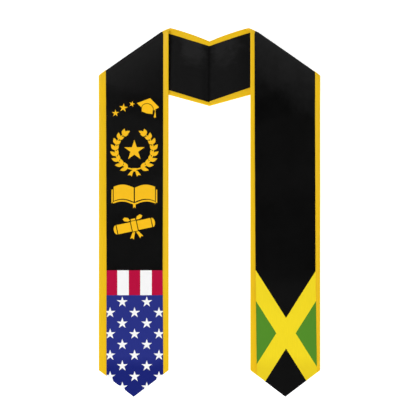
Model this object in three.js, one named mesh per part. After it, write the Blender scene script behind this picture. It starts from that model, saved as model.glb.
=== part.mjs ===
// A graduation stole lying flat. Two satin bands meet in a seam at the centre back. Each runs out to
// a shoulder, folds over there along a slanting line and comes down in front to a pointed end, whose
// satin carries a flag. A folded binding is sewn over every long edge.
// Millimetres, +Z up. Left and right are as seen from above, with the points towards -Y.
import * as THREE from "three";

// Driving dimensions of the outline, in millimetres and degrees.
const BAND_WIDTH = 150; // over both bindings
const BAND_GAP = 175; // between the two front bands
const BAND_SIDE = 631.6; // outer edge, from the lower corner to the shoulder
const POINT_DROP = 57; // the point, below the two lower corners
const FLAG_SIDE = 216; // outer edge of a flag end, above its corner
const SHOULDER_ANGLE = 34.9; // the fold line, above the horizontal
const NECK_SLOPE = 15.4; // lower edge of the neck, towards the centre
const NECK_CROWN = 1.3; // the neck's upper edge, above a straight line
const SEAM_LENGTH = 139; // centre back seam
const SEAM_GAP = 0.3; // between the two sewn edges of a seam, and where a binding is joined

// Cloth and binding.
const CLOTH = 1.2; // satin, stiffening and lining together
const BINDING_WIDTH = 12;
const BINDING_WALL = 1;
const CLEARANCE = 0.3; // between the cloth and its binding
const LAYER_CLEARANCE = 0.8; // between the front and the neck lying under it

// How the front comes down from the neck, which lies under it, to the floor.
const LOOSE_REACH = 90; // the looseness of the fold dies away over this
const FALL_START = 8; // past the neck's lower edge
const FALL_LENGTH = 60;
const SLANT_REACH = 180; // sections turn level to slanting over this stretch below the shoulder

// The roll of the shoulder fold. At its least it just clears two bound edges.
const FOLD_SLACK = 3.4; // most that is added to that radius
const CORNER_EASE = 4.2; // most that the roll stops short of the fold line

// Sections across the fold, from the outer edge (across 0) to the inner edge (across 1). slack and
// ease are shares of the two sizes above, and bound is the share of a binding's extra thickness.
const FOLD_SECTIONS = [
  { across: 0, slack: 0, ease: 0, bound: 1 },
  { across: 0.11, slack: 0.1, ease: 0, bound: 0 },
  { across: 0.5, slack: 0.5, ease: 0, bound: 0 },
  { across: 0.88, slack: 0.84, ease: 0.07, bound: 0.05 },
  { across: 1, slack: 1, ease: 1, bound: 1 },
];

// Widths of the four bindings as shares of BINDING_WIDTH: at the point, the top of the flag, the
// shoulder in front and behind, half way across the neck and the centre back. The inner two are
// joined from two lengths, where the front meets the shoulder roll.
const BINDINGS = [
  { name: "left_outer_binding", side: -1, edge: "outer", widths: [1.39, 1.4, 1.3, 1.26, 0.87, 0.63] },
  { name: "left_inner_binding", side: -1, edge: "inner", widths: [0.94, 1.04, 0.93, 1.38, 1.18, 0.82] },
  { name: "right_inner_binding", side: 1, edge: "inner", widths: [1.18, 0.92, 0.72, 1.19, 1.04, 0.81] },
  { name: "right_outer_binding", side: 1, edge: "outer", widths: [0.57, 0.83, 0.93, 1.08, 1.37, 0.8] },
];

// Low ripples that lift a front band off the floor. rise is a share of BAND_SIDE, reach one of
// BAND_WIDTH, and outer and inner, at the two edges, are shares of RIPPLE_HEIGHT.
const RIPPLE_HEIGHT = 1.8;
const RIPPLES = [
  { side: -1, rise: 0.16, reach: 0.42, outer: 0.8, inner: 0.3 },
  { side: -1, rise: 0.55, reach: 0.5, outer: 0.35, inner: 1 },
  { side: 1, rise: 0.2, reach: 0.45, outer: 0.3, inner: 0.85 },
  { side: 1, rise: 0.6, reach: 0.48, outer: 0.95, inner: 0.35 },
];

// How finely the sections are spaced.
const FLAG_STEPS = 9;
const FRONT_STEPS = 30;
const FOLD_STEPS = 9;
const NECK_STEPS = 8;
const COLUMNS = [0.11, 0.3, 0.5, 0.7, 0.88]; // between the two edges, as shares of the width

// Sizes that follow.
const radians = THREE.MathUtils.degToRad;
const EDGE_HALF = CLOTH / 2 + CLEARANCE + BINDING_WALL; // half the thickness of a bound edge
const BINDING_ROUND = 0.9 * BINDING_WALL; // of a binding's outer corners
const LAYER_PITCH = 2 * EDGE_HALF + LAYER_CLEARANCE;
const INNER_U = BAND_GAP / 2;
const OUTER_U = INNER_U + BAND_WIDTH;
const FOLD_SIN = Math.sin(radians(SHOULDER_ANGLE));
const FOLD_COS = Math.cos(radians(SHOULDER_ANGLE));
const SHOULDER_RISE = (BAND_WIDTH * FOLD_SIN) / FOLD_COS;
const SEAM_LOW = BAND_SIDE - OUTER_U * Math.tan(radians(NECK_SLOPE));
const SEAM_HIGH = SEAM_LOW + SEAM_LENGTH;
const TOP_SLOPE = Math.atan2(BAND_SIDE + SHOULDER_RISE - SEAM_HIGH, INNER_U);
const SEAM_WIDTH = SEAM_LENGTH * Math.cos((radians(NECK_SLOPE) + TOP_SLOPE) / 2);

const mix = THREE.MathUtils.lerp;
const smooth = (t) => THREE.MathUtils.smoothstep(t, 0, 1);

// A column of a table, interpolated at the place where key has the given value.
function tableAt(table, key, value, column) {
  const next = Math.max(1, table.findIndex((row, i) => i > 0 && row[key] >= value));
  const [low, high] = [table[next - 1], table[next]];
  return mix(low[column], high[column], (value - low[key]) / (high[key] - low[key]));
}

// A half is drawn in plan as (u, v): u outwards from the centre line, v upwards from the lower
// corners. Along the shoulder it is drawn as (along, below) the fold line, from its outer end.
const foldShare = (across, column) => tableAt(FOLD_SECTIONS, "across", across, column);
const foldRadius = (across) => LAYER_PITCH / 2 + FOLD_SLACK * foldShare(across, "slack");
const rollStart = (across) =>
  foldRadius(across) +
  mix(CLOTH / 2, EDGE_HALF, foldShare(across, "bound")) +
  CORNER_EASE * foldShare(across, "ease");
const fromFold = (along, below) => ({
  u: OUTER_U - along * FOLD_COS - below * FOLD_SIN,
  v: BAND_SIDE + along * FOLD_SIN - below * FOLD_COS,
});
const belowFold = (u, v) => (OUTER_U - u) * FOLD_SIN + (BAND_SIDE - v) * FOLD_COS;

// Where the front meets the roll, and where the neck leaves it, as distances along the fold line.
const frontAlong = (across) =>
  (across * BAND_WIDTH) / FOLD_COS - (rollStart(across) * FOLD_SIN) / FOLD_COS;
const neckAlong = (across) => {
  const lower = rollStart(0) / Math.tan(radians(SHOULDER_ANGLE + NECK_SLOPE));
  const upper =
    BAND_WIDTH / FOLD_COS + rollStart(1) / Math.tan(radians(SHOULDER_ANGLE) + TOP_SLOPE);
  return mix(lower, upper, across);
};

// Height of the front's middle surface above that of cloth lying on the floor.
function lift(across, u, v) {
  const slope = radians(NECK_SLOPE);
  const pastNeck = (OUTER_U - u) * -Math.sin(slope) + (BAND_SIDE - v) * Math.cos(slope);
  const cover = 1 - smooth((pastNeck - FALL_START) / FALL_LENGTH);
  const fromRoll = (belowFold(u, v) - rollStart(across)) / LOOSE_REACH;
  const loose = 2 * (foldRadius(across) - LAYER_PITCH / 2) * Math.exp(-fromRoll * fromRoll);
  return cover * (LAYER_PITCH + loose);
}

function rippleHeight(side, across, v) {
  return RIPPLES.filter((ripple) => ripple.side === side).reduce((height, ripple) => {
    const t = Math.min(1, Math.abs(v - ripple.rise * BAND_SIDE) / (ripple.reach * BAND_WIDTH));
    const crest = RIPPLE_HEIGHT * mix(ripple.outer, ripple.inner, across);
    return height + (crest * (1 + Math.cos(Math.PI * t))) / 2;
  }, 0);
}

// Sections across the band. at(across) gives a point of the cloth's middle surface, as plan place
// and height z, with the direction (below, up) that its printed face looks in.
function frontSection(side, rise) {
  const flagRise = FLAG_SIDE / BAND_SIDE;
  const slant = smooth(1 - ((1 - rise) * BAND_SIDE) / SLANT_REACH);
  const point = Math.max(0, 1 - rise / flagRise) * POINT_DROP;
  const top = BAND_SIDE - rollStart(0) / FOLD_COS;
  return {
    width: BAND_WIDTH,
    station: rise < flagRise ? rise / flagRise : 1 + (rise - flagRise) / (1 - flagRise),
    at(across) {
      const u = OUTER_U - across * BAND_WIDTH;
      const end = BAND_SIDE + across * SHOULDER_RISE - rollStart(across) / FOLD_COS;
      const v = rise * top + slant * (end - top) - point * (1 - Math.abs(2 * across - 1));
      const z = EDGE_HALF + lift(across, u, v) + rippleHeight(side, across, v);
      return { u, v, z, faceBelow: 0, faceUp: 1 };
    },
  };
}

function foldSection(turn) {
  const angle = turn * Math.PI;
  return {
    width: BAND_WIDTH,
    station: 2 + turn,
    at(across) {
      const radius = foldRadius(across);
      const along = mix(frontAlong(across), neckAlong(across), turn);
      const place = fromFold(along, rollStart(across) - radius * Math.sin(angle));
      const z = EDGE_HALF + radius * (1 + Math.cos(angle));
      return { ...place, z, faceBelow: -Math.sin(angle), faceUp: Math.cos(angle) };
    },
  };
}

function neckSection(share) {
  return {
    width: mix(BAND_WIDTH, SEAM_WIDTH, share),
    station: 3 + 2 * share,
    at(across) {
      const from = fromFold(neckAlong(across), rollStart(across));
      const u = mix(from.u, SEAM_GAP / 2, share);
      const straight = mix(from.v, mix(SEAM_LOW, SEAM_HIGH, across), share);
      const v = straight + across * NECK_CROWN * 4 * share * (1 - share);
      return { u, v, z: EDGE_HALF, faceBelow: 0, faceUp: -1 };
    },
  };
}

const steps = (count, first = 0) =>
  Array.from({ length: count + 1 - first }, (_, i) => (i + first) / count);

function flagSections(side) {
  return steps(FLAG_STEPS).map((t) => frontSection(side, (t * FLAG_SIDE) / BAND_SIDE));
}

function bandSections(side) {
  const start = (FLAG_SIDE + SEAM_GAP) / BAND_SIDE;
  return [
    ...steps(FRONT_STEPS).map((t) => frontSection(side, mix(start, 1, t))),
    ...steps(FOLD_STEPS, 1).map(foldSection),
    ...steps(NECK_STEPS, 1).map(neckSection),
  ];
}

// The lengths that a binding is joined from, as sections: one outside, a front and a neck inside.
function bindingLengths({ side, edge }) {
  const front = [...flagSections(side), ...bandSections(side).slice(1, FRONT_STEPS)];
  const [shoulder, ...beyond] = bandSections(side).slice(FRONT_STEPS);
  if (edge === "outer") return [{ suffix: "", sections: [...front, shoulder, ...beyond] }];
  const joined = frontSection(side, 1 - SEAM_GAP / BAND_SIDE);
  return [
    { suffix: "_front", sections: [...front, joined] },
    { suffix: "_neck", sections: [shoulder, ...beyond] },
  ];
}

// The cloth between the bindings, as a closed outline of [distance across, height] points.
function clothOutline(section) {
  const inset = BINDING_WALL + CLEARANCE;
  const inner = COLUMNS.map((share) => share * section.width);
  const places = [inset, ...inner, section.width - inset];
  return [
    ...places.map((across) => [across, -CLOTH / 2]),
    ...places.reverse().map((across) => [across, CLOTH / 2]),
  ];
}

// A binding folded over the edge, open towards the middle of the band.
function bindingOutline(binding, section) {
  const index = Math.min(binding.widths.length - 2, Math.floor(section.station));
  const [low, high] = binding.widths.slice(index, index + 2);
  const reach = BINDING_WIDTH * mix(low, high, section.station - index);
  const slot = EDGE_HALF - BINDING_WALL;
  const corner = BINDING_ROUND * (1 - Math.SQRT1_2);
  const outline = [
    [reach, -EDGE_HALF],
    [reach, -slot],
    [BINDING_WALL, -slot],
    [BINDING_WALL, slot],
    [reach, slot],
    [reach, EDGE_HALF],
    [BINDING_ROUND, EDGE_HALF],
    [corner, EDGE_HALF - corner],
    [0, EDGE_HALF - BINDING_ROUND],
    [0, BINDING_ROUND - EDGE_HALF],
    [corner, corner - EDGE_HALF],
    [BINDING_ROUND, -EDGE_HALF],
  ];
  if (binding.edge === "outer") return outline;
  return outline.map(([across, height]) => [section.width - across, height]).reverse();
}

// A closed solid through one outline per section.
function sweep(side, sections, outlineOf) {
  const outlines = sections.map(outlineOf);
  const count = outlines[0].length;
  const positions = sections.flatMap((section, row) =>
    outlines[row].flatMap(([distance, height]) => {
      const p = section.at(distance / section.width);
      const u = p.u - height * p.faceBelow * FOLD_SIN;
      const v = p.v - height * p.faceBelow * FOLD_COS;
      return [side * u, v, p.z + height * p.faceUp];
    }),
  );
  const faces = [];
  const addFace = (a, b, c) => faces.push(...(side < 0 ? [a, b, c] : [a, c, b]));
  for (let row = 0; row + 1 < sections.length; row++) {
    for (let i = 0; i < count; i++) {
      const next = (i + 1) % count;
      const [a, b] = [row * count + i, row * count + next];
      // Every diagonal runs from low across to high, so that cloth and binding bend alike.
      if (outlines[row][i][0] <= outlines[row][next][0]) {
        addFace(a, b + count, b);
        addFace(a, a + count, b + count);
      } else {
        addFace(a, a + count, b);
        addFace(b, a + count, b + count);
      }
    }
  }
  const closeEnd = (row, turned) => {
    const contour = outlines[row].map(([distance, height]) => new THREE.Vector2(distance, height));
    for (const [a, b, c] of THREE.ShapeUtils.triangulateShape(contour, [])) {
      const corners = [a, b, c].map((i) => row * count + i);
      addFace(...(turned ? corners.reverse() : corners));
    }
  };
  closeEnd(0, false);
  closeEnd(sections.length - 1, true);
  const geometry = new THREE.BufferGeometry();
  geometry.setAttribute("position", new THREE.Float32BufferAttribute(positions, 3));
  geometry.setIndex(faces);
  geometry.computeVertexNormals();
  return geometry;
}

const MATERIALS = {
  black_satin: new THREE.MeshStandardMaterial({ color: 0x151515, roughness: 0.5 }),
  blue_print: new THREE.MeshStandardMaterial({ color: 0x2c3186, roughness: 0.55 }),
  yellow_print: new THREE.MeshStandardMaterial({ color: 0xf1d824, roughness: 0.55 }),
  gold_satin: new THREE.MeshStandardMaterial({ color: 0xe8bb22, roughness: 0.45 }),
};

function addMesh(group, name, geometry, material) {
  const mesh = new THREE.Mesh(geometry, material);
  mesh.name = name;
  group.add(mesh);
}

function makeStole() {
  const stole = new THREE.Group();
  for (const [side, word, print] of [
    [-1, "left", MATERIALS.blue_print],
    [1, "right", MATERIALS.yellow_print],
  ]) {
    const flag = sweep(side, flagSections(side), clothOutline);
    const band = sweep(side, bandSections(side), clothOutline);
    addMesh(stole, `${word}_band`, band, MATERIALS.black_satin);
    addMesh(stole, `${word}_flag_end`, flag, print);
  }
  for (const binding of BINDINGS) {
    for (const { suffix, sections } of bindingLengths(binding)) {
      const geometry = sweep(binding.side, sections, (section) => bindingOutline(binding, section));
      addMesh(stole, binding.name + suffix, geometry, MATERIALS.gold_satin);
    }
  }
  return stole;
}

// The origin is the middle of the underside of the whole stole.
const stole = makeStole();
const extent = new THREE.Box3().setFromObject(stole, true);
const centre = extent.getCenter(new THREE.Vector3());
stole.position.set(-centre.x, -centre.y, -extent.min.z);

export default stole;
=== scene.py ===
"""A graduation stole lying flat on a pale surface, seen from straight above.

Lengths are in millimetres until a mesh is made. A half of the stole is drawn in plan as (u, v): u
outwards from the centre line, v upwards from the lower corners of the band. across runs from 0 at a
band's outer edge to 1 at its inner edge.
"""

import math

import bmesh
import bpy
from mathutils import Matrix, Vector, geometry, noise


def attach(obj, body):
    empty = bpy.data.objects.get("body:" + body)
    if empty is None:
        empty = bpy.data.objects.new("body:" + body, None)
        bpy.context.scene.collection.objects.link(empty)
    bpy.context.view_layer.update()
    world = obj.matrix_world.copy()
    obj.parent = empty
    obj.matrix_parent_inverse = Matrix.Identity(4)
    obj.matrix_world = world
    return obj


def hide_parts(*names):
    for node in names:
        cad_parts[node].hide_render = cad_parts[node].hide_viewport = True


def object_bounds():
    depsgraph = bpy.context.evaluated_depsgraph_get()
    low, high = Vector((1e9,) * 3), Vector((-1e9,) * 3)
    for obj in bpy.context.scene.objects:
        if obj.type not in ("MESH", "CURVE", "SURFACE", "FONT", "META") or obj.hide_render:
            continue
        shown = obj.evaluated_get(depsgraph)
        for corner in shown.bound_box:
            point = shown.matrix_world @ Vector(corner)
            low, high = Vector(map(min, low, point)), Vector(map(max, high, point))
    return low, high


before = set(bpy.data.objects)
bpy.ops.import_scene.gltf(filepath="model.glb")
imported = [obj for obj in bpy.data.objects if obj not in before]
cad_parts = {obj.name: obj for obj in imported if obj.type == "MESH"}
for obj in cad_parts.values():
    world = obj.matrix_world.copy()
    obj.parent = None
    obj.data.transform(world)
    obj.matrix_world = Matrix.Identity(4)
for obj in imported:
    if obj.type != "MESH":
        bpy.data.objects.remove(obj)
cad_low, cad_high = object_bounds()

# The view. The photo's frame is square, and its middle falls here on the stole's plan, as (x, v).
PHOTO_PIXELS = 416
PIXEL = 2.145
VIEW_MIDDLE = (-3.1, 347.8)
LENS = 200
SENSOR = 36

# The stole's own sizes.
BAND_WIDTH = 150
BAND_GAP = 175
BAND_SIDE = 631.6
POINT_DROP = 57
FLAG_SIDE = 216
SHOULDER_ANGLE = math.radians(34.9)
NECK_SLOPE = math.radians(15.4)
NECK_CROWN = 1.3
SEAM_LENGTH = 139
CLOTH = 1.2
BINDING_WIDTH = 12
BINDING_WALL = 1
CLEARANCE = 0.3

# The front over the neck. It sinks to the ground over FALL_LENGTH, which starts FALL_START past the
# neck's lower edge. Its rows turn to the fold's slant over SLANT_REACH.
LAYER_CLEARANCE = 0.8
LOOSE_REACH = 90
FALL_START = 8
FALL_LENGTH = 60
SLANT_REACH = 180

# The roll of the shoulder fold, and how much fuller it is in plan than the solid's.
FOLD_SLACK = 3.4
CORNER_EASE = 4.2
FOLD_FULLNESS = 0.45

# Sections across the shoulder fold: the place across, and shares of FOLD_SLACK, of CORNER_EASE and
# of the binding's thickness.
FOLD_SECTIONS = [
    (0, 0, 0, 1),
    (0.11, 0.1, 0, 0),
    (0.5, 0.5, 0, 0),
    (0.88, 0.84, 0.07, 0.05),
    (1, 1, 1, 1),
]

# Ripples: side, middle as a share of BAND_SIDE, reach as a share of BAND_WIDTH, and heights at the
# outer and the inner edge as shares of RIPPLE_HEIGHT.
RIPPLE_HEIGHT = 1.8
RIPPLES = [
    (-1, 0.16, 0.42, 0.8, 0.3),
    (-1, 0.55, 0.5, 0.35, 1),
    (1, 0.2, 0.45, 0.3, 0.85),
    (1, 0.6, 0.48, 0.95, 0.35),
]

# The cloth's finer relief: puckers along the sewn edges, soft waves and marks of the iron.
PUCKER_HEIGHT = 0.2
PUCKER_PITCH = 8.5
PUCKER_REACH = 18
WAVE_HEIGHT = 0.55
WAVE_LENGTH = 105
IRONED_HEIGHT = 0.16
IRONED_LENGTH = 24

# Bindings: name, side, edge (0 outer, 1 inner), and the widths at the point, the top of the flag,
# the shoulder in front and behind, half way across the neck and the centre back, as shares of
# BINDING_WIDTH.
BINDINGS = [
    ("left_outer_binding", -1, 0, (1.39, 1.4, 1.3, 1.26, 0.87, 0.63)),
    ("left_inner_binding", -1, 1, (0.94, 1.04, 0.93, 1.38, 1.18, 0.82)),
    ("right_inner_binding", 1, 1, (1.18, 0.92, 0.72, 1.19, 1.04, 0.81)),
    ("right_outer_binding", 1, 0, (0.57, 0.83, 0.93, 1.08, 1.37, 0.8)),
]

# The ribbon of the bindings and its stitching.
RIBBON_SLOT = 0.72
STITCH_INSET = 2
STITCH_HEIGHT = 1.4
STITCH_START = 1.5
STITCH_PITCH = 3.4
STITCH_LENGTH = 2.5
STITCH_SIDES = 5
THREAD = 0.42
# Rings round a stitch: place as a share of half its length, share of the thread's width, and rise.
STITCH_RINGS = ((-0.72, 0.8, 0.02), (0, 1, 0.06), (0.72, 0.8, 0.02))
TIP_SINK = 0.05

# The centre back seam draws the cloth in over SEAM_REACH. A bank of cloth stands beside it on each
# side: its height, and the lengths over which it rises and sinks.
SEAM_DIP = 0.45
SEAM_DIP_REACH = 1.8
SEAM_REACH = 90
SEAM_FADE = 30
SEAM_BANKS = {-1: (1.3, 17, 60), 1: (1.9, 52, 500)}
CREASE_HEIGHT = 0.7
CREASE_LENGTH = 16

# The turned edges of the points: how thin they are at the very edge, and the ridge of the hem.
HEM_EDGE = 0.3
HEM_ROUND = 0.9
HEM_WIDTH = 6.5
HEM_RIDGE = 0.14
HEM_RISE = 2
HEM_FADE = 2.5

# The flags, with x from a band's left edge and v from its lower corners.
FLAG_MIDDLE = 76.9
STRIPE = 24.6
STRIPE_FOOT = 161
STAR_TOP = 146.3
STAR_ROW = 22.85
STAR_COLUMN = 26.2
STAR_RADIUS = 12.1
STAR_WAIST = 0.382
SALTIRE_X = 76.6
SALTIRE_V = 79.4
SALTIRE_ANGLE = math.radians(57.7)
SALTIRE_ARM = 35

# The gold print: how far its two faces lie over the cloth, and the middles of its motifs.
PRINT_HEIGHT = 0.14
PRINT_FOOT = 0.02
CAP_AT = (106, 562)
STARS_AT = (50, 560)
WREATH_AT = (76.5, 472)
WREATH_RADIUS = 41
BOOK_AT = (76.5, 375)
DIPLOMA_AT = (76.5, 309)
DIPLOMA_TILT = math.radians(12)

WORDS = {-1: "left", 1: "right"}

# Painted sheen: the satin's colour is painted paler over PAINTED_SHEEN_REACH below the shoulder
# fold, and the lining's at the distances SEAM_PAINTED_SHEEN from the centre back seam and
# PAINTED_SHEEN_ACROSS above the neck's lower edge. The lining is also matt at the seam. The edges of
# such patches stray by up to WANDER.
PAINTED_SHEEN_REACH = 92
SEAM_PAINTED_SHEEN = (5, 22, 46, 70)
PAINTED_SHEEN_ACROSS = (74, 110)
SEAM_MATT = 14
WANDER = 18

# Painted shade on the flags' points, and their black darker at the top, between these heights.
POINT_PAINTED_SHADE = (30, 5)
TOP_DEEP = (180, 205)

# How fine the meshes are.
STEP = 2.6
FOLD_ROWS = 18
HEM_ROWS = 112

# Sizes that follow.
EDGE_HALF = CLOTH / 2 + CLEARANCE + BINDING_WALL
LAYER_PITCH = 2 * EDGE_HALF + LAYER_CLEARANCE
INNER_U = BAND_GAP / 2
OUTER_U = INNER_U + BAND_WIDTH
FOLD_SIN = math.sin(SHOULDER_ANGLE)
FOLD_COS = math.cos(SHOULDER_ANGLE)
SHOULDER_RISE = BAND_WIDTH * FOLD_SIN / FOLD_COS
SEAM_LOW = BAND_SIDE - OUTER_U * math.tan(NECK_SLOPE)
SEAM_HIGH = SEAM_LOW + SEAM_LENGTH
TOP_SLOPE = math.atan2(BAND_SIDE + SHOULDER_RISE - SEAM_HIGH, INNER_U)
SEAM_WIDTH = SEAM_LENGTH * math.cos((NECK_SLOPE + TOP_SLOPE) / 2)
ORIGIN_V = -POINT_DROP - cad_low[1] * 1000
FLAG_SHARE = FLAG_SIDE / BAND_SIDE
POINT_SLOPE = 2 * POINT_DROP / BAND_WIDTH


def mix(low, high, t):
    return low + (high - low) * t


def smooth(t):
    t = min(1, max(0, t))
    return t * t * (3 - 2 * t)


def wave(*place):
    """Smooth noise between -1 and 1."""
    return noise.noise(Vector((*place, 0, 0)[:3]))


def steps(count, first=0):
    return [i / count for i in range(first, count + 1)]


# The stole as a surface.
def fold_share(across, column):
    """A column of FOLD_SECTIONS at any place across."""
    for low, high in zip(FOLD_SECTIONS, FOLD_SECTIONS[1:]):
        if across <= high[0]:
            break
    return mix(low[column], high[column], (across - low[0]) / (high[0] - low[0]))


def fold_radius(across):
    return LAYER_PITCH / 2 + FOLD_SLACK * fold_share(across, 1)


def roll_start(across):
    wall = mix(CLOTH / 2, EDGE_HALF, fold_share(across, 3))
    return fold_radius(across) + wall + CORNER_EASE * fold_share(across, 2)


def front_top():
    """How far up a band's outer edge lies flat, below the fold."""
    return BAND_SIDE - roll_start(0) / FOLD_COS


def from_fold(along, below):
    """The place in plan that is so far along the fold's line and so far below it."""
    u = OUTER_U - along * FOLD_COS - below * FOLD_SIN
    v = BAND_SIDE + along * FOLD_SIN - below * FOLD_COS
    return u, v


def below_fold(u, v):
    """Distance below the fold's line."""
    return (OUTER_U - u) * FOLD_SIN + (BAND_SIDE - v) * FOLD_COS


def front_along(across):
    """How far along the fold the front meets its roll."""
    return (across * BAND_WIDTH - roll_start(across) * FOLD_SIN) / FOLD_COS


def neck_along(across):
    """How far along the fold the neck meets its roll."""
    lower = roll_start(0) / math.tan(SHOULDER_ANGLE + NECK_SLOPE)
    upper = BAND_WIDTH / FOLD_COS + roll_start(1) / math.tan(SHOULDER_ANGLE + TOP_SLOPE)
    return mix(lower, upper, across)


def lift(across, u, v):
    """How high the neck underneath holds the front."""
    past_neck = -(OUTER_U - u) * math.sin(NECK_SLOPE) + (BAND_SIDE - v) * math.cos(NECK_SLOPE)
    cover = 1 - smooth((past_neck - FALL_START) / FALL_LENGTH)
    from_roll = (below_fold(u, v) - roll_start(across)) / LOOSE_REACH
    loose = 2 * (fold_radius(across) - LAYER_PITCH / 2) * math.exp(-from_roll * from_roll)
    return cover * (LAYER_PITCH + loose)


def ripple_height(side, across, v):
    height = 0
    for of_side, rise, reach, outer, inner in RIPPLES:
        if of_side == side:
            t = min(1, abs(v - rise * BAND_SIDE) / (reach * BAND_WIDTH))
            crest = RIPPLE_HEIGHT * mix(outer, inner, across)
            height += crest * (1 + math.cos(math.pi * t)) / 2
    return height


def relief(side, across, flat_v, from_seam=math.inf):
    """How far small puckers and soft waves lift the cloth, at a place on the band laid out flat."""
    edge = min(across, 1 - across) * BAND_WIDTH
    seed = side * 7.3 + (across > 0.5) * 3.1
    sewn = 0.5 + 0.5 * wave(flat_v / PUCKER_PITCH, seed, edge / 40)
    broad = smooth(0.5 + wave(across * 1.9 + side * 5, flat_v / WAVE_LENGTH, 4.4))
    ironed = 0.5 + 0.5 * wave(across * 7 + side * 11, flat_v / IRONED_LENGTH, 6.6)
    height = PUCKER_HEIGHT * math.exp(-edge / PUCKER_REACH) * sewn
    height += WAVE_HEIGHT * broad + IRONED_HEIGHT * ironed
    return smooth(from_seam / 20) * height + drawn_in(side, across, from_seam)


def drawn_in(side, across, from_seam):
    """The seam pulls the cloth into a shallow trough, with short creases running out of it."""
    if from_seam > SEAM_REACH:
        return 0
    height, rising, sinking = SEAM_BANKS[side]
    bank = height * (0.7 + 0.5 * wave(across * 3.1, side * 4.7, 2.2))
    bank *= smooth(from_seam / rising) * math.exp(-from_seam / sinking)
    bank *= smooth((SEAM_REACH - from_seam) / SEAM_FADE)
    creases = CREASE_HEIGHT * (0.5 + 0.5 * wave(across * 13 + side * 2, from_seam / 45, 9.1))
    return bank + creases * smooth(from_seam / 7) * math.exp(-from_seam / CREASE_LENGTH)


class Section:
    """A line across the band, at t from 0 to 1 through its zone. at(across) gives the place of the
    cloth's middle surface there, the direction in which its printed face looks, and its flat place.
    station counts from 0 to 5 past the places where BINDINGS gives widths."""

    def __init__(self, side, zone, t):
        self.side = side
        self.zone = zone
        self.t = t
        self.width = BAND_WIDTH if zone != "neck" else mix(BAND_WIDTH, SEAM_WIDTH, t)
        if zone == "front":
            past_flag = (t - FLAG_SHARE) / (1 - FLAG_SHARE)
            self.station = t / FLAG_SHARE if t < FLAG_SHARE else 1 + past_flag
        else:
            self.station = 3 + 2 * t if zone == "neck" else 2 + t

    def at(self, across):
        return getattr(self, self.zone)(across)

    def front(self, across):
        slant = smooth(1 - (1 - self.t) * BAND_SIDE / SLANT_REACH)
        point = max(0, 1 - self.t / FLAG_SHARE) * POINT_DROP
        top = front_top()
        end = BAND_SIDE + across * SHOULDER_RISE - roll_start(across) / FOLD_COS
        v = self.t * top + slant * (end - top) - point * (1 - abs(2 * across - 1))
        return front_spot(self.side, across, v)

    def fold(self, across):
        angle = self.t * math.pi
        radius = fold_radius(across)
        along = mix(front_along(across), neck_along(across), self.t)
        reach = (radius + FOLD_FULLNESS) * math.sin(angle)
        u, v = from_fold(along, roll_start(across) - reach)
        flat_v = from_fold(along, roll_start(across) * math.cos(angle))[1]
        z = EDGE_HALF + radius * (1 + math.cos(angle)) + relief(self.side, across, flat_v)
        normal = (math.sin(angle) * FOLD_SIN, math.sin(angle) * FOLD_COS, math.cos(angle))
        return spot(self.side, u, v, z, normal, across, flat_v)

    def neck(self, across):
        start = from_fold(neck_along(across), roll_start(across))
        u = start[0] * (1 - self.t)
        v = mix(start[1], mix(SEAM_LOW, SEAM_HIGH, across), self.t)
        v += across * NECK_CROWN * 4 * self.t * (1 - self.t)
        below = below_fold(u, v)
        flat_v = v + 2 * below * FOLD_COS
        z = EDGE_HALF + relief(self.side, across, flat_v, u)
        return spot(self.side, u, v, z, (0, 0, -1), across, flat_v)


def spot(side, u, v, z, normal, across, flat_v):
    """A place on the stole: its point, the way its printed face looks, and its place when flat."""
    place = Vector((side * u, v - ORIGIN_V, z))
    return place, Vector((side * normal[0], normal[1], normal[2])), (across * BAND_WIDTH, flat_v)


def front_spot(side, across, v):
    u = OUTER_U - across * BAND_WIDTH
    z = EDGE_HALF + lift(across, u, v) + ripple_height(side, across, v) + relief(side, across, v)
    return spot(side, u, v, z, (0, 0, 1), across, v)


def band_sections(side):
    """Sections from the top of the flag end to the centre back seam."""
    front_rows = round((1 - FLAG_SHARE) * BAND_SIDE / STEP)
    front = [Section(side, "front", mix(FLAG_SHARE, 1, t)) for t in steps(front_rows)]
    fold = [Section(side, "fold", t) for t in steps(FOLD_ROWS, 1)]
    neck_length = OUTER_U / math.cos(NECK_SLOPE)
    neck = [Section(side, "neck", t) for t in steps(round(neck_length / STEP), 1)]
    return front + fold + neck


def whole_sections(side):
    """Sections from the point to the centre back seam."""
    count = round(FLAG_SIDE / STEP)
    flag = [Section(side, "front", t * FLAG_SHARE) for t in steps(count)]
    return flag + band_sections(side)[1:]


# Meshes.
class Piece:
    """Collects the faces of one object, with a material slot and a flat place for each corner."""

    def __init__(self):
        self.vertices = []
        self.faces = []
        self.flat = []
        self.slots = []
        self.smooth = []

    def vertex(self, place):
        self.vertices.append([c / 1000 for c in place])
        return len(self.vertices) - 1

    def face(self, corners, flat, slot=0, smooth=True):
        self.faces.append(corners)
        self.flat.append(flat)
        self.slots.append(slot)
        self.smooth.append(smooth)

    def make(self, name, materials):
        mesh = bpy.data.meshes.new(name)
        mesh.from_pydata(self.vertices, [], self.faces)
        for material in materials:
            mesh.materials.append(material)
        layer = mesh.uv_layers.new(name="Flat")
        for polygon, flat, slot, is_smooth in zip(
            mesh.polygons, self.flat, self.slots, self.smooth
        ):
            polygon.material_index = slot
            polygon.use_smooth = is_smooth
            for loop, (x, y) in zip(polygon.loop_indices, flat):
                layer.data[loop].uv = (x / 1000, y / 1000)
        made = bmesh.new()
        made.from_mesh(mesh)
        bmesh.ops.recalc_face_normals(made, faces=made.faces)
        for edge in made.edges:
            edge.smooth = all(face.smooth for face in edge.link_faces)
        made.to_mesh(mesh)
        made.free()
        piece = bpy.data.objects.new(name, mesh)
        bpy.context.scene.collection.objects.link(piece)
        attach(piece, "root")
        return piece


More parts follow.
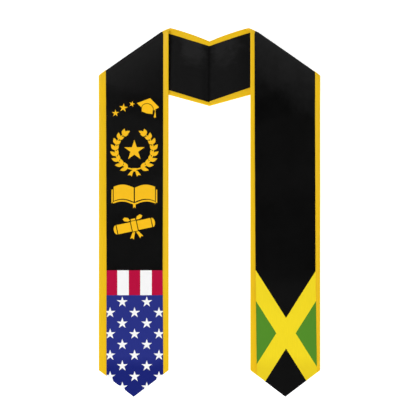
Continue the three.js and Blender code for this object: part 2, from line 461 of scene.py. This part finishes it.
def add_grid(piece, rows, flats, slot, closed=False):
    """Faces through rows of vertex numbers. flats gives each vertex its flat place."""
    for low, high, flat_low, flat_high in zip(rows, rows[1:], flats, flats[1:]):
        count = len(low)
        for i in range(count if closed else count - 1):
            j = (i + 1) % count
            k = i + 1
            piece.face(
                [low[i], low[j], high[j], high[i]],
                [flat_low[i], flat_low[k], flat_high[k], flat_high[i]],
                slot,
            )


def add_band(side, satin, lining):
    """A band's cloth, from the top of its flag end to the centre back seam."""
    piece = Piece()
    columns = round(BAND_WIDTH / STEP)
    inset = BINDING_WALL + CLEARANCE
    layers = {1: ([], []), -1: ([], [])}
    for section in band_sections(side):
        spots = [
            section.at(mix(inset, section.width - inset, t) / section.width) for t in steps(columns)
        ]
        for face, (rows, flats) in layers.items():
            row = []
            for place, normal, flat in spots:
                dip = SEAM_DIP * math.exp(-((place.x / SEAM_DIP_REACH) ** 2))
                half = CLOTH / 2 - (dip if section.zone == "neck" else 0)
                row.append(piece.vertex(place + normal * face * half))
            rows.append(row)
            flats.append([flat for _, _, flat in spots])
    add_grid(piece, *layers[1], 0)
    add_grid(piece, *layers[-1], 1)
    add_edges(piece, layers[1][0], layers[-1][0], 1)
    return piece.make(f"{WORDS[side]}_cloth", [satin, lining])


def add_edges(piece, top, bottom, slot):
    """Walls round the four edges of two grids of vertex numbers."""
    edges = [
        (top[0], bottom[0]),
        (top[-1], bottom[-1]),
        ([row[0] for row in top], [row[0] for row in bottom]),
        ([row[-1] for row in top], [row[-1] for row in bottom]),
    ]
    for upper, lower in edges:
        for a, b, c, d in zip(upper, upper[1:], lower[1:], lower):
            piece.face([a, b, c, d], [(0, 0)] * 4, slot, smooth=False)


# Bindings.
def binding_reach(shares, station):
    """How far a binding covers the cloth."""
    index = min(len(shares) - 2, int(station))
    return BINDING_WIDTH * mix(shares[index], shares[index + 1], station - index)


def binding_profile(reach):
    """A folded ribbon's closed outline as (distance from the edge, height), lip to lip outside and
    back along the slot that holds the cloth."""
    crown = min(3.2, 0.42 * reach)
    half = [
        (reach, RIBBON_SLOT),
        (reach + 0.05, 1.08),
        (reach - 0.2, 1.34),
        (reach - 0.75, 1.5),
        (reach - 1.3, 1.5),
        (reach - STITCH_INSET + 0.3, 1.36),
        (reach - STITCH_INSET - 0.3, 1.36),
        (reach - 2.9, 1.56),
        (mix(crown, reach - 2.9, 0.5), 1.8),
        (crown, EDGE_HALF),
        (0.6 * crown, 1.87),
        (0.32 * crown, 1.7),
        (0.14 * crown, 1.36),
        (0.03 * crown, 0.8),
    ]
    inside = [(BINDING_WALL, -RIBBON_SLOT), (BINDING_WALL, RIBBON_SLOT)]
    other_half = [(distance, -height) for distance, height in reversed(half)]
    return [*half, (0, 0), *other_half, *inside]


def add_binding(name, side, edge, shares, satin):
    """A binding's ribbon, from the side of the point to the centre back seam."""
    piece = Piece()
    rows, flats = [], []
    for section in whole_sections(side):
        row, flat, round_way = [], [], 0
        last = None
        profile = binding_profile(binding_reach(shares, section.station))
        for distance, height in profile:
            across = distance / section.width
            place, normal, flat_place = section.at(1 - across if edge else across)
            row.append(piece.vertex(place + normal * height))
            if last:
                round_way += math.dist(last, (distance, height))
            last = (distance, height)
            flat.append((round_way, flat_place[1]))
        flat.append((round_way + math.dist(last, profile[0]), flat[0][1]))
        rows.append(row)
        flats.append(flat)
    add_grid(piece, rows, flats, 0, closed=True)
    for row, flat in ((rows[0], flats[0]), (rows[-1], flats[-1])):
        piece.face(row, flat[:-1], 0, smooth=False)
    return piece.make(name, [satin])


def seam_line(side, edge, shares, face):
    """Where a binding's stitching runs, with the way its face looks."""
    line = []
    for section in whole_sections(side):
        across = (binding_reach(shares, section.station) - STITCH_INSET) / section.width
        place, normal, _ = section.at(1 - across if edge else across)
        line.append((place + normal * face * STITCH_HEIGHT, normal * face))
    return line


def add_stitches(name, lines, thread):
    """A row of short raised stitches along each line."""
    piece = Piece()
    for line in lines:
        travelled, next_stitch = 0, STITCH_START
        for (start, up), (end, _) in zip(line, line[1:]):
            length = (end - start).length
            while next_stitch < travelled + length:
                middle = start.lerp(end, (next_stitch - travelled) / length)
                along = (end - start).normalized()
                add_stitch(piece, middle, along, up.cross(along).normalized(), up)
                next_stitch += STITCH_PITCH
            travelled += length
    return piece.make(name, [thread])


def add_stitch(piece, middle, along, sideways, up):
    half = STITCH_LENGTH / 2
    rings = []
    for at, swell, rise in STITCH_RINGS:
        centre = middle + along * at * half + up * rise
        ring = []
        for i in range(STITCH_SIDES):
            turn = 2 * math.pi * i / STITCH_SIDES
            offset = sideways * math.cos(turn) + up * math.sin(turn)
            ring.append(piece.vertex(centre + offset * swell * THREAD / 2))
        rings.append(ring)
    tips = [piece.vertex(middle + along * at * half - up * TIP_SINK) for at in (-1, 1)]
    for low, high, v in zip(rings, rings[1:], (0, 1)):
        for i in range(STITCH_SIDES):
            j = (i + 1) % STITCH_SIDES
            flat = [(i, v), (i + 1, v), (i + 1, v + 1), (i, v + 1)]
            piece.face([low[i], low[j], high[j], high[i]], flat)
    for ring, tip in zip((rings[0], rings[-1]), tips):
        for i in range(STITCH_SIDES):
            piece.face([ring[i], ring[(i + 1) % STITCH_SIDES], tip], [(i, 0), (i + 1, 0), (i, 1)])


# Shapes cut out of cloth or print, in plan. x runs from a band's left edge as seen, and v upwards
# from its lower corners.
def across_of(side, x):
    """The place across a band that lies x from its left edge."""
    return x / BAND_WIDTH if side < 0 else 1 - x / BAND_WIDTH


def box(left, low, right, high):
    return [(left, low), (right, low), (right, high), (left, high)]


def star(x, y, radius, turn=0):
    points = []
    for i in range(10):
        angle = math.pi / 2 + turn + i * math.pi / 5
        reach = radius * (STAR_WAIST if i % 2 else 1)
        points.append((x + reach * math.cos(angle), y + reach * math.sin(angle)))
    return points


def turned(outline, angle, x=0, y=0):
    """The outline turned about its own middle, which is then put at (x, y)."""
    cos, sin = math.cos(angle), math.sin(angle)
    return [(x + a * cos - b * sin, y + a * sin + b * cos) for a, b in outline]


def mirrored(outline):
    return [(-x, y) for x, y in outline]


def along_edges(outline, step):
    """The outline with points added so that none are further apart than step."""
    points = []
    for a, b in zip(outline, [*outline[1:], outline[0]]):
        count = max(1, math.ceil(math.dist(a, b) / step))
        points += [(mix(a[0], b[0], i / count), mix(a[1], b[1], i / count)) for i in range(count)]
    return points


def anticlockwise(outline):
    pairs = zip(outline, [*outline[1:], outline[0]])
    area = sum(a[0] * b[1] - a[1] * b[0] for a, b in pairs)
    return outline if area > 0 else list(reversed(outline))


def clear_of(point, segments, gap):
    x, y = point
    for (ax, ay), (bx, by) in segments:
        dx, dy = bx - ax, by - ay
        t = min(1, max(0, ((x - ax) * dx + (y - ay) * dy) / (dx * dx + dy * dy)))
        if math.hypot(ax + t * dx - x, ay + t * dy - y) < gap:
            return False
    return True


def filling(outer, segments, step):
    """Points a step apart in staggered rows within the bounds of outer, clear of the segments."""
    xs, ys = zip(*outer)
    left, low = min(xs), min(ys)
    rows = math.ceil((max(ys) - low) / step)
    columns = math.ceil((max(xs) - left) / step)
    cell = 2 * step
    near = {}
    for segment in segments:
        (ax, ay), _ = segment
        near.setdefault((int(ax // cell), int(ay // cell)), []).append(segment)
    points = []
    for j in range(rows):
        for i in range(columns):
            x, y = left + (i + 0.5 * (j % 2)) * step, low + j * step
            p, q = int(x // cell), int(y // cell)
            cells = [(p + a, q + b) for a in (-1, 0, 1) for b in (-1, 0, 1)]
            close = [segment for key in cells for segment in near.get(key, ())]
            if clear_of((x, y), close, 0.3 * step):
                points.append((x, y))
    return points


def cut(outlines, step, extra=()):
    """Triangles that fill the outlines, each with the numbers of the outlines that hold it. Points
    a step apart let them follow the cloth."""
    points, polygons, segments = [], [], []
    for outline in outlines:
        dense = along_edges(anticlockwise(outline), step)
        polygons.append(list(range(len(points), len(points) + len(dense))))
        points += dense
        segments += zip(dense, [*dense[1:], dense[0]])
    points += [*filling(points, segments, step), *extra]
    inside_only, same_place = 1, 1e-5
    places = [Vector(p) for p in points]
    made = geometry.delaunay_2d_cdt(places, [], polygons, inside_only, same_place)
    return [tuple(p) for p in made[0]], list(zip(made[2], made[5]))


def add_layer(piece, side, points, triangles, height, lower_slot):
    """A closed sheet on a band's front. triangles are (corners, slot), and height(x, v, face) is a
    point's height over the cloth's middle on the upper (1) or lower (-1) face."""
    numbers = {}

    def corner(i, face):
        if (i, face) not in numbers:
            x, v = points[i]
            place, normal, _ = front_spot(side, across_of(side, x), v)
            numbers[i, face] = piece.vertex(place + normal * height(x, v, face))
        return numbers[i, face]

    def flat(i):
        return across_of(side, points[i][0]) * BAND_WIDTH, points[i][1]

    rim = {}
    for corners, slot in triangles:
        where = [flat(i) for i in corners]
        piece.face([corner(i, 1) for i in corners], where, slot)
        piece.face([corner(i, -1) for i in reversed(corners)], where[::-1], lower_slot)
        for a, b in zip(corners, [*corners[1:], corners[0]]):
            if (b, a) in rim:
                del rim[b, a]
            else:
                rim[a, b] = slot
    for (a, b), slot in rim.items():
        wall = [corner(a, 1), corner(a, -1), corner(b, -1), corner(b, 1)]
        piece.face(wall, [flat(a), flat(a), flat(b), flat(b)], slot, smooth=False)


def point_drop(x):
    return -POINT_DROP * (1 - abs(2 * x / BAND_WIDTH - 1))


def from_point_edge(x, v):
    """Distance from the slanting edges of the point."""
    return (v - point_drop(x)) / math.hypot(1, POINT_SLOPE)


def hem_height(x, v, face):
    """The point's edges are turned in, so the cloth is rounded there and thicker over the hem."""
    distance = from_point_edge(x, v)
    round_off = 1 - min(1, max(0, distance) / HEM_ROUND)
    half = CLOTH / 2 * mix(HEM_EDGE, 1, math.sqrt(1 - round_off * round_off))
    fading = smooth((distance - HEM_WIDTH) / HEM_FADE)
    return face * (half + HEM_RIDGE * smooth(distance / HEM_RISE) * (1 - fading))


def add_flag(side, shapes, materials, lining):
    """A band's pointed end. shapes are (slot, outline) and paint over what comes before them."""
    inset = BINDING_WALL + CLEARANCE
    right = BAND_WIDTH - inset
    top = FLAG_SHARE * front_top()
    outline = [
        (inset, point_drop(inset)),
        (BAND_WIDTH / 2, -POINT_DROP),
        (right, point_drop(inset)),
        (right, top),
        (inset, top),
    ]
    hem = []
    for distance in (0.12 * HEM_ROUND, 0.45 * HEM_ROUND, HEM_ROUND):
        rise = distance * math.hypot(1, POINT_SLOPE)
        hem += [(x, point_drop(x) + rise) for x in (mix(inset, right, t) for t in steps(HEM_ROWS))]
    points, triangles = cut([outline, *(shape for _, shape in shapes)], STEP, hem)
    slots = [0, *(slot for slot, _ in shapes)]
    inside = [(corners, slots[max(held)]) for corners, held in triangles if 0 in held]
    piece = Piece()
    add_layer(piece, side, points, inside, hem_height, len(materials))
    return piece.make(f"{WORDS[side]}_flag", [*materials, lining])


def stripes_and_stars():
    """Red (1) and white (2) upright stripes over a blue field (0) of white stars."""
    shapes = [(1, box(-1, STRIPE_FOOT, BAND_WIDTH + 1, FLAG_SIDE + 1))]
    for i in (-1, 1):
        x = FLAG_MIDDLE + i * STRIPE
        shapes.append((2, box(x - STRIPE / 2, STRIPE_FOOT, x + STRIPE / 2, FLAG_SIDE + 1)))
    for row in range(9):
        v = STAR_TOP - row * STAR_ROW
        for column in (-2, 0, 2) if row % 2 else (-1, 1):
            shapes.append((2, star(FLAG_MIDDLE + column * STAR_COLUMN, v, STAR_RADIUS)))
    return shapes


def saltire():
    """A yellow diagonal cross (2) on green (0), with black (1) above and below it."""
    far = 200
    rise = far * math.tan(SALTIRE_ANGLE)
    shapes = []
    for way in (1, -1):
        top = SALTIRE_V + way * rise
        shapes.append((1, [(SALTIRE_X, SALTIRE_V), (SALTIRE_X + far, top), (SALTIRE_X - far, top)]))
    for angle in (SALTIRE_ANGLE, -SALTIRE_ANGLE):
        bar = box(-far, -SALTIRE_ARM / 2, far, SALTIRE_ARM / 2)
        shapes.append((2, turned(bar, angle, SALTIRE_X, SALTIRE_V)))
    return shapes


# The gold print's motifs, each a list of outlines about its own middle.
def arc(radius, start, end, width_start, width_end):
    """A tapering strip along an arc, with angles in degrees."""
    outer, inner = [], []
    for t in steps(24):
        angle = math.radians(mix(start, end, t))
        half = mix(width_start, width_end, t) / 2
        outer.append(((radius + half) * math.cos(angle), (radius + half) * math.sin(angle)))
        inner.append(((radius - half) * math.cos(angle), (radius - half) * math.sin(angle)))
    return outer + inner[::-1]


def oval(x, y, wide, high, tilt, start, end):
    """Points along part of an ellipse, with angles in degrees."""
    angles = [math.radians(mix(start, end, t)) for t in steps(16)]
    points = [(wide * math.cos(a), high * math.sin(a)) for a in angles]
    return turned(points, math.radians(tilt), x, y)


def leaf(x, y, length, width, angle):
    """A pointed leaf from its stalk at (x, y)."""
    upper = [(length * t, width / 2 * math.sin(math.pi * t**0.85)) for t in steps(8)]
    lower = [(a, -b) for a, b in upper[-2:0:-1]]
    return turned(upper + lower, math.radians(angle), x, y)


def cap():
    """A mortarboard seen from below, tilted, with its tassel hanging at the right."""
    brim = oval(-1.5, -1.5, 13.5, 11.5, -14, 0, 180)
    board = [(-23.8, 10.5), (4.5, 21), (23.8, 1.5), (13.4, -4.2), *brim]
    crown = [*oval(-1.5, -1.5, 12.2, 10.2, -14, 0, 180), (-13.6, -7.2), (-3, -11.4), (9.2, -12.8)]
    cord = [(14.2, -4.2), (15.8, -3.2), (15.9, -9), (14.7, -9)]
    tassel = [(14.6, -8.6), (16, -8.6), (16.8, -19.8), (14.4, -20.8), (11.9, -19.8)]
    return [board, crown, cord, tassel]


def sparks():
    """Three small stars in a rising arc."""
    return [star(-14, -9, 8), star(3, 2.5, 9.5, turn=-0.12), star(21.5, 10.5, 6.5, turn=-0.25)]


def wreath_leaf(angle, length, width, slant):
    """A leaf at an angle round the wreath's ring, slanting from that angle, both in degrees."""
    x = WREATH_RADIUS * math.cos(math.radians(angle))
    y = WREATH_RADIUS * math.sin(math.radians(angle))
    return leaf(x, y, length, width, angle + slant)


def wreath():
    """Two laurel branches tied at the foot round a star."""
    foot, tip = -84, 58
    branch = [arc(WREATH_RADIUS, foot, tip, 3, 1.6)]
    for i in range(8):
        angle = -70 + 17.5 * i
        length = 17.5 - 0.5 * i
        branch.append(wreath_leaf(angle, length, 8, 90 - 36))
        branch.append(wreath_leaf(angle, length - 2, 7.4, 90 + 34))
    branch.append(wreath_leaf(tip, 14, 7, 96))
    tails = [[(1.5, -44), (7, -44.5), (14.5, -54), (8.5, -53.5), (5.6, -57)]]
    half = branch + tails
    knot = [(-4.6, -38.6), (4.6, -38.6), (4.6, -46), (-4.6, -46)]
    return [*half, *(mirrored(outline) for outline in half), knot, star(0, -1, 23)]


def book():
    """An open book with its cover showing under the pages."""
    bow = [(1.3 + 43 * t, 8 * math.sin(math.pi * (0.06 + 0.8 * t))) for t in steps(14)]
    page = [(x, y + 15) for x, y in bow] + [(x, y - 15.5) for x, y in reversed(bow)]
    under = [(x + 1.4 * (x > 2), y - 17.6) for x, y in bow]
    cover = under + [(x, y - 3.6) for x, y in reversed(under)]
    flap = [(46.2, 12.6), (49, 12), (49, -16.5), (46.2, -15)]
    half = [page, cover, flap]
    marker = [(-2.8, -16.6), (2.8, -16.6), (2.8, -28), (0, -25), (-2.8, -28)]
    return [*half, *(mirrored(outline) for outline in half), marker]


def diploma():
    """A rolled diploma tied with a ribbon."""
    half = 10
    body = [(7.4, half), (37, half), (37, -half), (7.4, -half)]
    end = [(39 + 6 * math.sin(a), half * math.cos(a)) for a in (math.pi * t for t in steps(14))]
    band = box(-5.6, -half - 1, 5.6, half + 1)
    loop = [(6.6, 13.6), (9.5, 19.5), (17, 22.5), (21.5, 18.8), (18, 14), (11.5, 12.3)]
    tail = [(1.2, -12.6), (6.6, -12.6), (14.6, -25), (9.8, -24), (6.8, -27.6)]
    sides = [body, end, tail, loop]
    bow = [(-4.4, 12.3), (4.4, 12.3), (5.2, 16), (-5.2, 16)]
    outlines = [*sides, *(mirrored(outline) for outline in sides), band, bow]
    return [turned(outline, DIPLOMA_TILT) for outline in outlines]


def print_height(x, v, face):
    """The print is equally thick wherever it lies."""
    return CLOTH / 2 + (PRINT_HEIGHT if face > 0 else PRINT_FOOT)


def add_print(name, outlines, middle, material):
    piece = Piece()
    placed = [[(x + middle[0], y + middle[1]) for x, y in outline] for outline in outlines]
    points, triangles = cut(placed, STEP)
    add_layer(piece, -1, points, [(corners, 0) for corners, _ in triangles], print_height, 0)
    return piece.make(name, [material])


# Materials. Their patterns are laid out on the flat cloth, in millimetres.
class Nodes:
    """A material's nodes, with the flat cloth's coordinates."""

    def __init__(self, name, seed=0.0):
        self.seed = seed
        self.material = bpy.data.materials.new(name)
        self.material.use_nodes = True
        self.tree = self.material.node_tree
        self.shader = self.tree.nodes["Principled BSDF"]
        self.uv = self.add("ShaderNodeUVMap", uv_map="Flat").outputs["UV"]

    def add(self, kind, **settings):
        node = self.tree.nodes.new(kind)
        for key, value in settings.items():
            setattr(node, key, value)
        return node

    def link(self, source, target):
        self.tree.links.new(source, target)

    def scaled(self, x, y, turn=0):
        mapping = self.add("ShaderNodeMapping")
        mapping.inputs["Scale"].default_value = (1000 * x, 1000 * y, 1)
        mapping.inputs["Rotation"].default_value = (0, 0, turn)
        self.link(self.uv, mapping.inputs["Vector"])
        return mapping.outputs["Vector"]

    def noise(self, x, y, detail, seed=0.0):
        """Noise whose patches are about x by y millimetres."""
        made = self.add("ShaderNodeTexNoise", noise_dimensions="3D")
        mapping = self.scaled(1 / x, 1 / y).node
        mapping.inputs["Location"].default_value = (0, 0, self.seed + seed)
        self.link(mapping.outputs["Vector"], made.inputs["Vector"])
        made.inputs["Scale"].default_value = 1
        made.inputs["Detail"].default_value = detail
        return made.outputs["Fac"]

    def floats(self, length, width, turn):
        """The lows between a satin weave's floats, which lie side by side in staggered rows."""
        made = self.add("ShaderNodeTexBrick", offset=0.4)
        self.link(self.scaled(1, 1, math.pi / 2 + turn), made.inputs["Vector"])
        for name, value in (
            ("Scale", 1),
            ("Brick Width", length),
            ("Row Height", width),
            ("Mortar Size", 0.4 * width),
            ("Mortar Smooth", 1),
        ):
            made.inputs[name].default_value = value
        return made.outputs["Fac"]

    def ramp(self, turn, low, high, uneven, share=1):
        """Rises from 0 at low to 1 at high along a direction of the cloth, turned from its v. Its
        place wanders by a share of uneven."""
        split = self.add("ShaderNodeSeparateXYZ")
        self.link(self.scaled(1, 1, turn), split.inputs["Vector"])
        return self.ranged(self.added(split.outputs["Y"], uneven, share), 0, 1, low, high)

    def ranged(self, value, low, high, start=0.3, end=0.7):
        made = self.add("ShaderNodeMapRange")
        self.link(value, made.inputs["Value"])
        for name, number in (
            ("From Min", start),
            ("From Max", end),
            ("To Min", low),
            ("To Max", high),
        ):
            made.inputs[name].default_value = number
        return made.outputs["Result"]

    def mixed(self, factor, first, second):
        """first and second are colours, or first is another node's output."""
        made = self.add("ShaderNodeMix", data_type="RGBA")
        self.link(factor, made.inputs["Factor"])
        if isinstance(first, tuple):
            made.inputs["A"].default_value = (*first, 1)
        else:
            self.link(first, made.inputs["A"])
        made.inputs["B"].default_value = (*second, 1)
        return made.outputs["Result"]

    def both(self, operation, first, second):
        """MULTIPLY or MAXIMUM of two values."""
        made = self.add("ShaderNodeMath", operation=operation)
        self.link(first, made.inputs[0])
        self.link(second, made.inputs[1])
        return made.outputs["Value"]

    def added(self, first, second, share):
        """first plus share times second."""
        made = self.add("ShaderNodeMath", operation="MULTIPLY_ADD")
        self.link(second, made.inputs[0])
        made.inputs[1].default_value = share
        self.link(first, made.inputs[2])
        return made.outputs["Value"]

    def feed(self, name, source):
        self.link(source, self.shader.inputs[name])

    def bump(self, height, distance):
        """distance is in millimetres."""
        made = self.add("ShaderNodeBump")
        made.inputs["Distance"].default_value = distance / 1000
        made.inputs["Strength"].default_value = 1
        self.link(height, made.inputs["Height"])
        self.feed("Normal", made.outputs["Normal"])

    def set(self, **sockets):
        for name, value in sockets.items():
            self.shader.inputs[name.replace("_", " ")].default_value = value


def tones(colour, spread):
    """The darker and the lighter tone of a linear colour."""
    return [tuple(min(1, c * (1 + way * spread)) for c in colour) for way in (-1, 1)]


def painted_sheen_below_shoulder(nodes, uneven):
    """Painted sheen on the satin: 1 at the shoulder fold, falling to 0 at PAINTED_SHEEN_REACH below
    it.
    """
    fold = BAND_SIDE * FOLD_COS
    return nodes.ramp(-SHOULDER_ANGLE, fold - PAINTED_SHEEN_REACH, fold, uneven)


def to_seam(nodes, low, high, uneven, share=1):
    """Rises from 0 to 1 between two distances from the centre back seam."""
    ends = [v + 2 * below_fold(0, v) * FOLD_COS for v in (SEAM_LOW, SEAM_HIGH)]
    turn = math.atan2(ends[0] - ends[1], BAND_WIDTH)
    seam = ends[0] * math.cos(turn)
    return nodes.ramp(turn, seam - low, seam - high, uneven, share)


def painted_sheen_beside_seam(nodes, uneven):
    """Painted sheen on the lining: 1 beside the centre back seam on the upper half of the neck."""
    start, full, fading, end = SEAM_PAINTED_SHEEN
    rising = to_seam(nodes, start, full, uneven)
    fallen = to_seam(nodes, end, fading, uneven)
    upper = nodes.ramp(math.pi / 2, *PAINTED_SHEEN_ACROSS, uneven)
    return nodes.both("MULTIPLY", nodes.both("MULTIPLY", rising, fallen), upper)


def at_seam(nodes, uneven):
    """1 at the centre back seam, falling to 0 at SEAM_MATT from it."""
    return to_seam(nodes, SEAM_MATT, 0, uneven, share=0.2)


def by_height(low, high):
    """1 beyond the height high, falling to 0 at low, which may lie above it."""
    return lambda nodes, uneven: nodes.ramp(0, low, high, uneven, share=0.3)


def satin(
    name,
    colour,
    roughness=(0.4, 0.5),
    shine=0.3,
    spread=0.08,
    turn=0,
    weave=0.025,
    wrinkles=3,
    shade=None,
    where=None,
    matt=None,
    seed=0,
):
    """Satin: long floats side by side, uneven threads, unevenness left by the iron, and patches
    that are duller from handling. turn slants the weave, as in a binding cut on the bias, weave is
    its height, and wrinkles is that of the unevenness as a multiple. shade is a second tone, which
    where places. The satins and linings use it for painted sheen, the flags' points for painted
    shade, and the flags' black for a darker top. matt says where it hardly shines."""
    nodes = Nodes(name, seed)
    streaks = nodes.noise(0.9, 24, detail=3)
    tone = nodes.mixed(streaks, *tones(colour, spread))
    patches = nodes.noise(38, 60, detail=2, seed=4)
    ironing = nodes.noise(9, 15, detail=2, seed=8)
    uneven = nodes.ranged(nodes.added(patches, ironing, 0.7), -WANDER, WANDER, 0.5, 1.2)
    if shade:
        tone = nodes.mixed(where(nodes, uneven), tone, shade)
    nodes.feed("Base Color", tone)
    rough = nodes.ranged(patches, *roughness)
    if matt:
        rough = nodes.both("MAXIMUM", rough, matt(nodes, uneven))
    nodes.feed("Roughness", rough)
    height = nodes.added(streaks, nodes.floats(1.3, 0.24, turn), -0.6)
    nodes.bump(nodes.added(height, ironing, wrinkles), weave)
    nodes.set(Specular_IOR_Level=shine)
    return nodes.material


def gold_print(name, colour):
    """A pressed-on print that lets the weave through a little."""
    nodes = Nodes(name)
    patches = nodes.noise(9, 9, detail=3)
    nodes.feed("Base Color", nodes.mixed(patches, *tones(colour, 0.05)))
    nodes.feed("Roughness", nodes.ranged(patches, 0.42, 0.55))
    nodes.bump(nodes.added(patches, nodes.floats(1.3, 0.4, 0), -0.4), 0.012)
    nodes.set(Specular_IOR_Level=0.25)
    return nodes.material


def thread(name, colour):
    """Twisted sewing thread: its flat place counts sides and stitches."""
    nodes = Nodes(name)
    twist = nodes.add("ShaderNodeTexWave", bands_direction="DIAGONAL")
    nodes.link(nodes.uv, twist.inputs["Vector"])
    twist.inputs["Scale"].default_value = 300
    nodes.feed("Base Color", nodes.mixed(twist.outputs["Fac"], *tones(colour, 0.15)))
    nodes.bump(twist.outputs["Fac"], 0.04)
    nodes.set(Roughness=0.55, Specular_IOR_Level=0.3)
    return nodes.material


def floor_material():
    nodes = Nodes("pale_floor")
    nodes.set(Base_Color=(0.95, 0.95, 0.95, 1), Roughness=0.9, Specular_IOR_Level=0.1)
    nodes.set(Emission_Color=(1, 1, 1, 1), Emission_Strength=0.6)
    return nodes.material


# The studio, with lengths in metres.
def add_floor():
    reach, drop = 6, 0.0001
    mesh = bpy.data.meshes.new("floor")
    corners = box(-reach, -reach, reach, reach)
    mesh.from_pydata([(x, y, -drop) for x, y in corners], [], [(0, 1, 2, 3)])
    mesh.uv_layers.new(name="Flat")
    mesh.materials.append(floor_material())
    floor = bpy.data.objects.new("floor", mesh)
    bpy.context.scene.collection.objects.link(floor)


def add_camera():
    data = bpy.data.cameras.new("camera")
    data.lens = LENS
    data.sensor_width = SENSOR
    data.clip_end = 50
    camera = bpy.data.objects.new("camera", data)
    bpy.context.scene.collection.objects.link(camera)
    x, v = VIEW_MIDDLE
    height = PHOTO_PIXELS * PIXEL * LENS / SENSOR
    camera.location = (x / 1000, (v - ORIGIN_V) / 1000, height / 1000)
    bpy.context.scene.camera = camera


def add_light(name, place, size, power):
    """A square light that looks at the stole's middle."""
    data = bpy.data.lights.new(name, "AREA")
    data.shape = "SQUARE"
    data.size = size
    data.energy = power
    light = bpy.data.objects.new(name, data)
    bpy.context.scene.collection.objects.link(light)
    light.location = place
    light.rotation_euler = (-Vector(place)).to_track_quat("-Z", "Y").to_euler()


def add_world(zenith, horizon):
    """An even studio dome, darker overhead than at its sides."""
    world = bpy.data.worlds.new("studio")
    world.use_nodes = True
    tree = world.node_tree
    place = tree.nodes.new("ShaderNodeTexCoord")
    split = tree.nodes.new("ShaderNodeSeparateXYZ")
    ramp = tree.nodes.new("ShaderNodeMapRange")
    tree.links.new(place.outputs["Generated"], split.inputs["Vector"])
    tree.links.new(split.outputs["Z"], ramp.inputs["Value"])
    ramp.inputs["To Min"].default_value = horizon
    ramp.inputs["To Max"].default_value = zenith
    tree.links.new(ramp.outputs["Result"], tree.nodes["Background"].inputs["Strength"])
    tree.nodes["Background"].inputs["Color"].default_value = (1, 1, 1, 1)
    bpy.context.scene.world = world


add_camera()
add_floor()
add_world(zenith=0.05, horizon=1.0)
add_light("key", (-2.1, 1.2, 3.9), 1.4, 75)
add_light("fill", (2.9, 1.0, 2.1), 2.0, 8)
add_light("foot", (0.1, -3.3, 1.9), 2.4, 92)
bpy.context.scene.view_settings.view_transform = "Standard"

# The satins' shade colour, paler below the shoulder fold and more so on the right, is painted sheen.
black_satins = {
    side: satin(
        f"{word}_black_satin",
        (0.0008, 0.0008, 0.0008),
        roughness=(0.36, 0.45),
        shine=0.09 if side < 0 else 0.072,
        spread=0.25,
        weave=0.05,
        wrinkles=5.5,
        shade=(0.0052, 0.0052, 0.0053) if side < 0 else (0.0135, 0.0135, 0.0137),
        where=painted_sheen_below_shoulder,
        seed=20 * side,
    )
    for side, word in WORDS.items()
}
# The linings' shade colour beside the seam is painted sheen, and the right lining's base colour is
# painted lighter than the left's, as painted light on the same cloth.
linings = {
    side: satin(
        f"{word}_black_lining",
        (0.0024, 0.0024, 0.0025) if side < 0 else (0.0032, 0.0032, 0.0033),
        roughness=(0.42, 0.52),
        shine=0.1,
        weave=0.05,
        wrinkles=9,
        shade=(0.0112, 0.0112, 0.0114),
        where=painted_sheen_beside_seam,
        matt=at_seam,
        seed=20 * side,
    )
    for side, word in WORDS.items()
}
gold_satin = satin(
    "gold_satin", (0.85, 0.525, 0.006), roughness=(0.36, 0.46), shine=0.22, turn=math.pi / 4
)
gold_thread = thread("gold_thread", (0.72, 0.42, 0.012))
gold_ink = gold_print("gold_print", (0.96, 0.53, 0.002))
# The blue and the yellow shade colours on the points are painted shade.
painted_shade_on_point = by_height(*POINT_PAINTED_SHADE)
blue = satin(
    "blue_print", (0.018, 0.027, 0.222), shine=0.12, shade=(0.0065, 0.0132, 0.168), where=painted_shade_on_point
)
red = satin("red_print", (0.468, 0.0005, 0.043), shine=0.12)
white = satin("white_print", (0.93, 0.93, 0.93), shine=0.3, spread=0.015)
green = satin("green_print", (0.08, 0.256, 0.02), shine=0.12)
yellow = satin(
    "yellow_print", (0.9, 0.698, 0.015), shine=0.12, shade=(0.817, 0.616, 0.013), where=painted_shade_on_point
)
black = satin(
    "black_print",
    (0.0022, 0.0022, 0.0022),
    shine=0.09,
    shade=(0.0006, 0.0006, 0.0006),
    where=by_height(*TOP_DEEP),
)

bands = {side: add_band(side, black_satins[side], linings[side]) for side in (-1, 1)}
flags = {
    -1: add_flag(-1, stripes_and_stars(), [blue, red, white], linings[-1]),
    1: add_flag(1, saltire(), [green, black, yellow], linings[1]),
}
prints = [
    add_print("gold_cap", cap(), CAP_AT, gold_ink),
    add_print("gold_stars", sparks(), STARS_AT, gold_ink),
    add_print("gold_wreath", wreath(), WREATH_AT, gold_ink),
    add_print("gold_book", book(), BOOK_AT, gold_ink),
    add_print("gold_diploma", diploma(), DIPLOMA_AT, gold_ink),
]

# Hide the CAD solids that the pieces stand in for, and reckon each band's cut cloth area. The
# bindings' ribbons and stitches are made here too.
for side, word in WORDS.items():
    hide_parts(f"{word}_band")
    cut_area = (BAND_SIDE - FLAG_SIDE + SHOULDER_RISE / 2) * BAND_WIDTH
    cut_area += (OUTER_U + INNER_U) / 2 * (BAND_WIDTH + SEAM_LENGTH) / 2
    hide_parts(f"{word}_flag_end")

for name, side, edge, shares in BINDINGS:
    ribbon = add_binding(name.replace("binding", "ribbon"), side, edge, shares, gold_satin)
    lines = [seam_line(side, edge, shares, face) for face in (1, -1)]
    stitches = add_stitches(name.replace("binding", "stitches"), lines, gold_thread)
    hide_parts(*([f"{name}_front", f"{name}_neck"] if edge else [name]))
